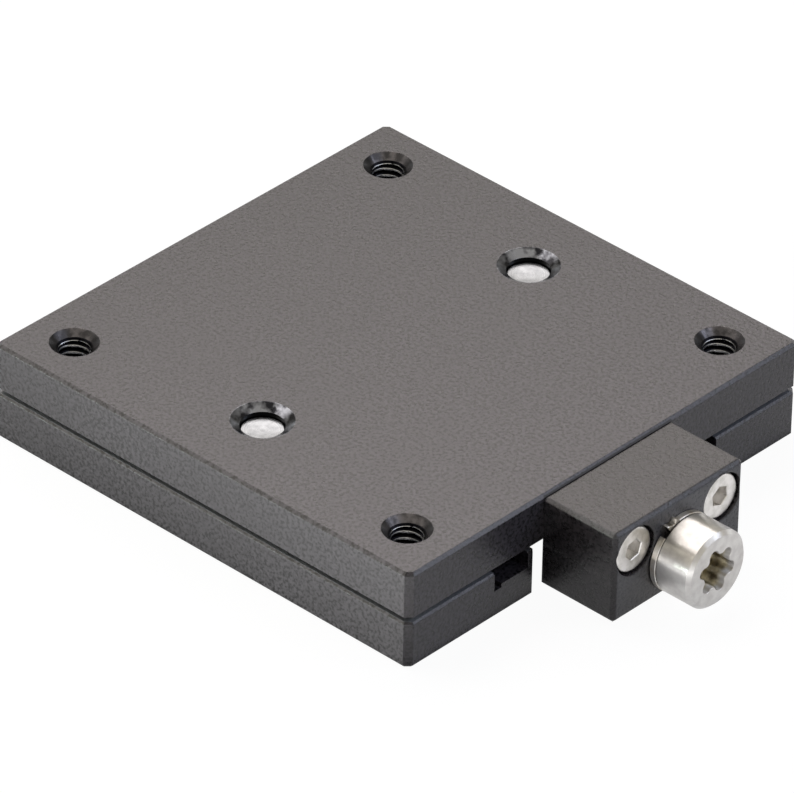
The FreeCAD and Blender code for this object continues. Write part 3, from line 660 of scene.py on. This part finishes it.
def six_lobed(points, waist, lobe):
    """Outline of a six-lobed socket, whose lobes and hollows are arcs that flow into each other."""
    lobe_at = points / 2 - lobe
    spare = lobe - waist / 2
    hollow_at = (lobe_at ** 2 - spare ** 2) / (2 * (lobe_at * math.cos(SIXTH / 2) + spare))
    hollow = hollow_at - waist / 2

    def outline(margin):
        share = (lobe + margin) / (lobe + hollow)
        joint = math.atan2(share * hollow_at * math.sin(SIXTH / 2),
                           lobe_at + share * (hollow_at * math.cos(SIXTH / 2) - lobe_at))

        def reach(turn):
            off = abs((turn + SIXTH / 2) % SIXTH - SIXTH / 2)
            if off < joint:
                aside = lobe_at * math.sin(off)
                return lobe_at * math.cos(off) + math.sqrt((lobe + margin) ** 2 - aside ** 2)
            off = SIXTH / 2 - off
            aside = hollow_at * math.sin(off)
            return hollow_at * math.cos(off) - math.sqrt((hollow - margin) ** 2 - aside ** 2)
        return reach
    return outline


def socket(shape, place, mouth, outline, width, depth, phase):
    """Rings of a key socket, with a broken edge and a drilled cone at its floor."""
    floor_at = mouth - depth
    floor_radius = width * socket_floor_share
    tip_radius = floor_radius * socket_cone_tip_share
    return [ring(shape, place, mouth, outline(socket_edge_break), phase),
            ring(shape, place, mouth - socket_edge_break, outline(0), phase),
            ring(shape, place, floor_at, outline(0), phase),
            ring(shape, place, floor_at, floor_radius, phase),
            ring(shape, place, floor_at - socket_cone_depth, tip_radius, phase)]


def close(shape, rings):
    """Skins the rings and caps both ends."""
    skin(shape, rings)
    shape.faces.new(rings[0])
    shape.faces.new(rings[-1])


def helix(shape, to_place, profile, start, end, pitch, steps=40, limit=None):
    """A ridge with that profile of (radius, height) points, wound from start to end.

    It grows out of the wall over the first half turn and sinks back over the last.
    """
    turns = (end - start) / pitch
    count = int(turns * steps)
    wall = profile[0][0]
    least_height = 0.02
    sections = []
    for i in range(count + 1):
        fade = min(1, i / (steps / 2), (count - i) / (steps / 2))
        angle = 2 * math.pi * i / steps
        section = []
        for radius, rise in profile:
            r = wall + (radius - wall) * fade
            z = start + pitch * i / steps + rise * max(fade, least_height)
            if limit:
                z = limit(r, z)
            section.append(shape.verts.new(to_place(r, angle, z)))
        sections.append(section)
    close(shape, sections)


def corner_threads(name, body, bottom, top, material):
    """The M4 threads of a plate's four corner holes, cut off by both countersinks."""
    sink = (mount_countersink - mount_bore) / 2
    wall = mount_bore / 2 + 0.01 * MM
    crest = mount_thread_crest
    foot = mount_root_width / 2
    flat = mount_crest_width / 2
    profile = [(wall, -foot), (crest, -flat), (crest, flat), (wall, foot)]
    start = bottom + sink * 0.5
    end = top - sink * 0.35

    def limit(r, z):
        reach = mount_countersink / 2 - r
        return min(max(z, bottom + reach), top - reach)

    def build(shape):
        for x in (-1, 1):
            for y in (-1, 1):
                centre = Vector((x * mount_pitch / 2, y * mount_pitch / 2, 0))

                def to_place(r, angle, z, centre=centre):
                    return centre + Vector((r * math.cos(angle), r * math.sin(angle), z))

                helix(shape, to_place, profile, start, end, mount_thread_pitch, limit=limit)

    return new_object(name, mesh_from(build, name, 60), material, body)


def feed_axis():
    """Centre line of the feed screw, from the box of its node."""
    low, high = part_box("feed_screw")
    return Vector((0, (low.y + high.y) / 2, (low.z + high.z) / 2))


def round_x(centre):
    """Places a point at a radius, angle and X round an axis along X."""
    def place(r, angle, x):
        return centre + Vector((x, r * math.cos(angle), r * math.sin(angle)))
    return place


def feed_screw(material):
    """The feed screw: a threaded shaft, a journal with its ring groove, and a socket head."""
    low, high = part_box("feed_screw")
    ring_low, ring_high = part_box("retaining_ring")
    head = (high.z - low.z) / 2
    front = high.x
    rear = front - feed_head_length
    crest = feed_thread / 2
    core = crest - feed_thread_depth
    place = round_x(feed_axis())
    outline = six_lobed(feed_socket_points, feed_socket_waist, feed_socket_lobe_radius)
    groove_start = ring_low.x - ring_groove_clearance
    groove_end = ring_high.x + ring_groove_clearance

    def build(shape):
        rings = turned(shape, place, [
            (low.x, core - feed_tip_chamfer), (low.x + feed_tip_chamfer, core),
            (feed_journal_start, core), (feed_journal_start + feed_journal_step, crest),
            (groove_start, crest),
            (groove_start, ring_groove / 2), (groove_end, ring_groove / 2), (groove_end, crest),
            (rear, crest), (rear, head - feed_rear_chamfer), (rear + feed_rear_chamfer, head),
            (front - feed_head_chamfer, head), (front, head - feed_head_chamfer)],
            feed_socket_phase)
        rings += socket(shape, place, front, outline, feed_socket_waist, feed_socket_depth,
                        feed_socket_phase)
        close(shape, rings)
        half = feed_thread_pitch / 2
        root = core - 0.02 * MM
        foot = half * 0.9
        flat = half * 0.12
        profile = [(root, -foot), (crest, -flat), (crest, flat), (root, foot)]
        helix(shape, place, profile, low.x + half, feed_journal_start - half, feed_thread_pitch)

    piece = new_object("feed_screw_turned", mesh_from(build, "feed_screw_turned"), material,
                       "feed_screw")
    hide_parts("feed_screw")


def bracket_screws(material):
    """The two cap screws in the bracket, with rounded head edges and hexagon sockets."""
    low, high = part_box("bracket_screws")
    head = (high.z - low.z) / 2
    front = high.x
    seat = front - cap_head_height
    thread = cap_thread / 2
    chamfer = cap_head_chamfer
    far_bend = chamfer * 0.4
    near_bend = chamfer * 0.13

    def build(shape):
        for y, phase in zip((low.y + head, high.y - head), cap_phases):
            place = round_x(Vector((0, y, low.z + head)))
            rings = turned(shape, place, [
                (low.x, thread - cap_tip_chamfer), (low.x + cap_tip_chamfer, thread),
                (seat, thread), (seat, head), (front - chamfer, head),
                (front - far_bend, head - near_bend), (front - near_bend, head - far_bend),
                (front, head - chamfer)], phase)
            rings += socket(shape, place, front, hexagon(cap_socket), cap_socket,
                            cap_socket_depth, phase)
            close(shape, rings)

    piece = new_object("bracket_cap_screws", mesh_from(build, "bracket_cap_screws"), material,
                       "table")
    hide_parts("bracket_screws")


def stop_pins(material):
    """The two stop pins, with heads faced off to a shallow dish."""
    low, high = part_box("stop_pins")
    seat = high.z - stop_pin_head_height
    rim = stop_pin_head / 2
    tip = stop_pin_tip / 2
    face = rim - stop_pin_chamfer
    steps = 8

    def build(shape):
        for y in (-stop_pin_spacing / 2, stop_pin_spacing / 2):
            def place(r, angle, z, y=y):
                return Vector((r * math.cos(angle), y + r * math.sin(angle), z))
            outline = [(low.z, tip - stop_pin_chamfer), (low.z + stop_pin_chamfer, tip),
                       (seat, tip), (seat, rim), (high.z - stop_pin_chamfer, rim)]
            for i in range(steps):
                share = 1 - i / steps
                outline.append((high.z - stop_pin_dish * (1 - share ** 2), face * share))
            close(shape, turned(shape, place, outline))

    piece = new_object("stop_pins_faced", mesh_from(build, "stop_pins_faced"), material,
                       "table")
    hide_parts("stop_pins")


def split_washer(material):
    """The spring washer: a ring cut through once, one tip sprung outwards, with a torn burr."""
    low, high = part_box("spring_washer")
    outer = washer_outer / 2
    place = round_x(feed_axis())
    steps = 240
    half_slit = washer_slit / 2 / outer
    sweep = 2 * math.pi - 2 * half_slit
    burr_at = washer_burr_angle + 2 * math.pi
    inner = washer_inner / 2
    blend = 0.06 * MM
    thickness = high.x - low.x - washer_lift

    def build(shape):
        sections = []
        for i in range(steps + 1):
            share = i / steps
            angle = washer_slit_angle + half_slit + sweep * share
            to_tip = (1 - share) * sweep
            flare = washer_flare * math.exp(-(to_tip / washer_flare_angle) ** 2)
            burr = washer_burr * math.exp(-((angle - burr_at) / washer_burr_width) ** 2)
            x = low.x + washer_lift * (1 - share)
            rim = outer + flare + burr
            corners = [(inner, 0), (rim - blend, 0), (rim, blend), (rim, thickness - blend),
                       (rim - blend, thickness), (inner, thickness)]
            sections.append([shape.verts.new(place(r, angle, x + rise)) for r, rise in corners])
        close(shape, sections)

    piece = new_object("spring_washer_split", mesh_from(build, "spring_washer_split"), material,
                       "table")
    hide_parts("spring_washer")


def paint(materials):
    """Gives each CAD node the finish of its material slot."""
    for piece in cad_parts.values():
        for holder in piece.material_slots:
            slot = holder.material.name
            holder.link = "OBJECT"
            holder.material = materials[slot]


def matt_white_card():
    """The floor's card: matt white to the eye, with a faint shadow. It throws back little light.

    Polished parts mirror it as a lit white card with a painted pool of light, brightest
    beyond the stage's left side and dimmer towards -X, with the stage's shadow painted on it.
    """
    shadow_edge = cad_high.y + 0.75 * MM
    shadow_blur = 0.15 * MM
    pool_end = cad_low.y - 16 * MM
    material, tree, place = new_material("matt_white_card")
    rays = add(tree, "ShaderNodeLightPath").outputs
    seen = add(tree, "ShaderNodeMath", {0: rays["Is Camera Ray"], 1: rays["Is Transmission Ray"]},
               operation="MAXIMUM")
    white = add(tree, "ShaderNodeEmission", {"Color": (1, 1, 1, 1), "Strength": 0.955})
    faint = add(tree, "ShaderNodeBsdfDiffuse", {"Color": linear("#595959")})
    to_eye = add(tree, "ShaderNodeAddShader", {0: white, 1: faint})

    apart = add(tree, "ShaderNodeSeparateXYZ", {0: place}).outputs
    # Painted light in mirrors: a pool beyond the left side, dimmer towards -X, and a painted shadow
    pool = add(tree, "ShaderNodeMapRange", {"Value": apart["Y"], "From Min": cad_low.y,
                                            "From Max": pool_end, "To Min": 0.6, "To Max": 2.3})
    along = add(tree, "ShaderNodeMapRange", {"Value": apart["X"], "From Min": cad_low.x - 5 * MM,
                                             "From Max": cad_high.y, "To Min": 0.75})
    across = add(tree, "ShaderNodeMath", {0: apart["Y"]}, operation="ABSOLUTE")
    reach = add(tree, "ShaderNodeMath", {0: apart["X"], 1: across}, operation="MAXIMUM")
    clear = add(tree, "ShaderNodeMapRange", {"Value": reach, "From Min": shadow_edge - shadow_blur,
                                             "From Max": shadow_edge, "To Min": 0.55})
    power = 1
    for factor in (pool, clear, along):
        power = add(tree, "ShaderNodeMath", {0: factor, 1: power}, operation="MULTIPLY")
    glow = add(tree, "ShaderNodeEmission", {"Color": (1, 1, 1, 1), "Strength": power})
    lit = add(tree, "ShaderNodeBsdfDiffuse", {"Color": linear("#b0b0b0")})
    in_mirrors = add(tree, "ShaderNodeAddShader", {0: glow, 1: lit})

    bounce = add(tree, "ShaderNodeBsdfDiffuse", {"Color": linear("#4c4c4c")})
    shader = add(tree, "ShaderNodeMixShader", {0: rays["Is Glossy Ray"], 1: bounce, 2: in_mirrors})
    shader = add(tree, "ShaderNodeMixShader", {0: seen, 1: shader, 2: to_eye})
    add(tree, "ShaderNodeOutputMaterial", {"Surface": shader})
    return material


def floor():
    """A wide flat card, a hair below the stage."""
    size = 3.0
    below = 0.02 * MM
    mesh = bpy.data.meshes.new("floor")
    corners = [(-size, -size, 0), (size, -size, 0), (size, size, 0), (-size, size, 0)]
    mesh.from_pydata(corners, [], [(0, 1, 2, 3)])
    mesh.materials.append(matt_white_card())
    card = bpy.data.objects.new("floor", mesh)
    bpy.context.scene.collection.objects.link(card)
    card.location.z = -below


def studio_world():
    """White near the horizon and greyer above, to the eye and in mirrors. It gives little light."""
    world = bpy.data.worlds.new("studio")
    bpy.context.scene.world = world
    world.use_nodes = True
    tree = world.node_tree
    tree.nodes.clear()
    towards = add(tree, "ShaderNodeTexCoord").outputs["Generated"]
    height = add(tree, "ShaderNodeSeparateXYZ", {0: towards}).outputs["Z"]
    above = add(tree, "ShaderNodeMapRange", {"Value": height, "From Min": 0.16, "From Max": 0.34})
    tone = add(tree, "ShaderNodeMix", {0: above, 6: (1, 1, 1, 1), 7: linear("#c5c0b4")},
               data_type="RGBA")
    rays = add(tree, "ShaderNodeLightPath").outputs
    seen = add(tree, "ShaderNodeMath", {0: rays["Is Camera Ray"], 1: rays["Is Glossy Ray"]},
               operation="MAXIMUM")
    seen = add(tree, "ShaderNodeMath", {0: seen, 1: rays["Is Transmission Ray"]},
               operation="MAXIMUM")
    fill = add(tree, "ShaderNodeBackground", {"Color": linear("#eef2ff"), "Strength": 0.03})
    white = add(tree, "ShaderNodeBackground", {"Color": tone.outputs[2], "Strength": 1.0})
    shader = add(tree, "ShaderNodeMixShader", {0: seen, 1: fill, 2: white})
    add(tree, "ShaderNodeOutputWorld", {"Surface": shader})


def direction(azimuth, elevation):
    """Unit vector from the stage, azimuth 0 towards -Y and 90 towards +X."""
    a = math.radians(azimuth)
    e = math.radians(elevation)
    return Vector((math.sin(a) * math.cos(e), -math.cos(a) * math.cos(e), math.sin(e)))


def softbox(name, azimuth, elevation, distance, width, height, level, colour):
    """A soft lamp. At level 1, a surface that faces it renders in the colour as written."""
    light = bpy.data.lights.new(name, "AREA")
    light.shape = "RECTANGLE"
    light.size = width
    light.size_y = height
    light.energy = level * math.pi ** 2 * distance ** 2
    light.color = linear(colour)[:3]
    lamp = bpy.data.objects.new(name, light)
    bpy.context.scene.collection.objects.link(lamp)
    towards = direction(azimuth, elevation)
    lamp.location = towards * distance
    lamp.rotation_mode = "QUATERNION"
    lamp.rotation_quaternion = towards.to_track_quat("Z", "Y")


def lamps():
    """The overhead lamp lights the top, the low one the left side. The others are weak cards.

    Angles are in degrees, and distances and sizes in metres.
    """
    softbox("overhead_softbox", 258, 54, 0.9, 1.3, 0.65, 0.785, "#fff9f6")
    softbox("left_softbox", -45, 3, 0.8, 0.6, 0.12, 0.93, "#f1fff4")
    softbox("right_strip", 137, 34.5, 0.6, 0.2, 0.12, 0.08, "#dde8ff")
    softbox("right_softbox", 112, 42, 0.6, 0.3, 0.3, 0.09, "#dde8ff")
    softbox("left_card", -40, 28, 0.6, 0.25, 0.25, 0.065, "#f6efe0")


def camera():
    """The photograph's camera."""
    back = direction(camera_azimuth, camera_elevation)
    a = math.radians(camera_azimuth)
    level = Vector((math.cos(a), math.sin(a), 0))
    above = back.cross(level)
    roll = math.radians(camera_roll)
    right = level * math.cos(roll) + above * math.sin(roll)
    up = above * math.cos(roll) - level * math.sin(roll)
    per_pixel = camera_distance / camera_focal_pixels
    shift_x, shift_y = camera_offset_pixels
    centre = camera_target + back * camera_distance
    centre -= right * (shift_x * per_pixel) + up * (shift_y * per_pixel)
    view = bpy.data.cameras.new("camera")
    view.sensor_width = camera_sensor
    view.lens = camera_sensor * camera_focal_pixels / picture_width
    view.clip_start = 0.05
    view.clip_end = 10
    eye = bpy.data.objects.new("camera", view)
    bpy.context.scene.collection.objects.link(eye)
    turn = Matrix((right, up, back)).transposed()
    eye.matrix_world = Matrix.Translation(centre) @ turn.to_4x4()
    bpy.context.scene.camera = eye


# A finish for each material slot of the record
materials = {
    "black_anodised_plate": black_anodised_aluminium("anodised_plate", "#272527", "#615b61",
                                                     "#4a4549", 0.1),
    "black_anodised_bracket": black_anodised_aluminium("anodised_bracket", "#1e1b1c", "#4c474a",
                                                       "#393537", 0.25),
    "feed_screw_steel": nickel_plated_turned_steel(),
    "bright_cap_screw": nickel_plated_cap_screw(),
    "pin_steel": faced_pin_steel(),
    "spring_steel": nickel_plated_spring_steel(),
    "rail_steel": ground_rail_steel(),
    "bearing_steel": polished_ball_steel(),
    "cage_brass": rolled_brass(),
    "nut_bronze": turned_bronze(),
    "black_oxide_screw": black_oxide_steel(),
    "small_slotted_screw": nickel_plated_screw_steel(),
}
paint(materials)
tapped = tapped_aluminium()
for plate, body in (("table_plate", "table"), ("base_plate", "base")):
    plate_low, plate_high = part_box(plate)
    corner_threads(body + "_corner_threads", body, plate_low.z, plate_high.z, tapped)
feed_screw(materials["feed_screw_steel"])
bracket_screws(materials["bright_cap_screw"])
stop_pins(materials["pin_steel"])
split_washer(materials["spring_steel"])
floor()
studio_world()
lamps()
camera()
bpy.context.scene.view_settings.view_transform = "Standard"
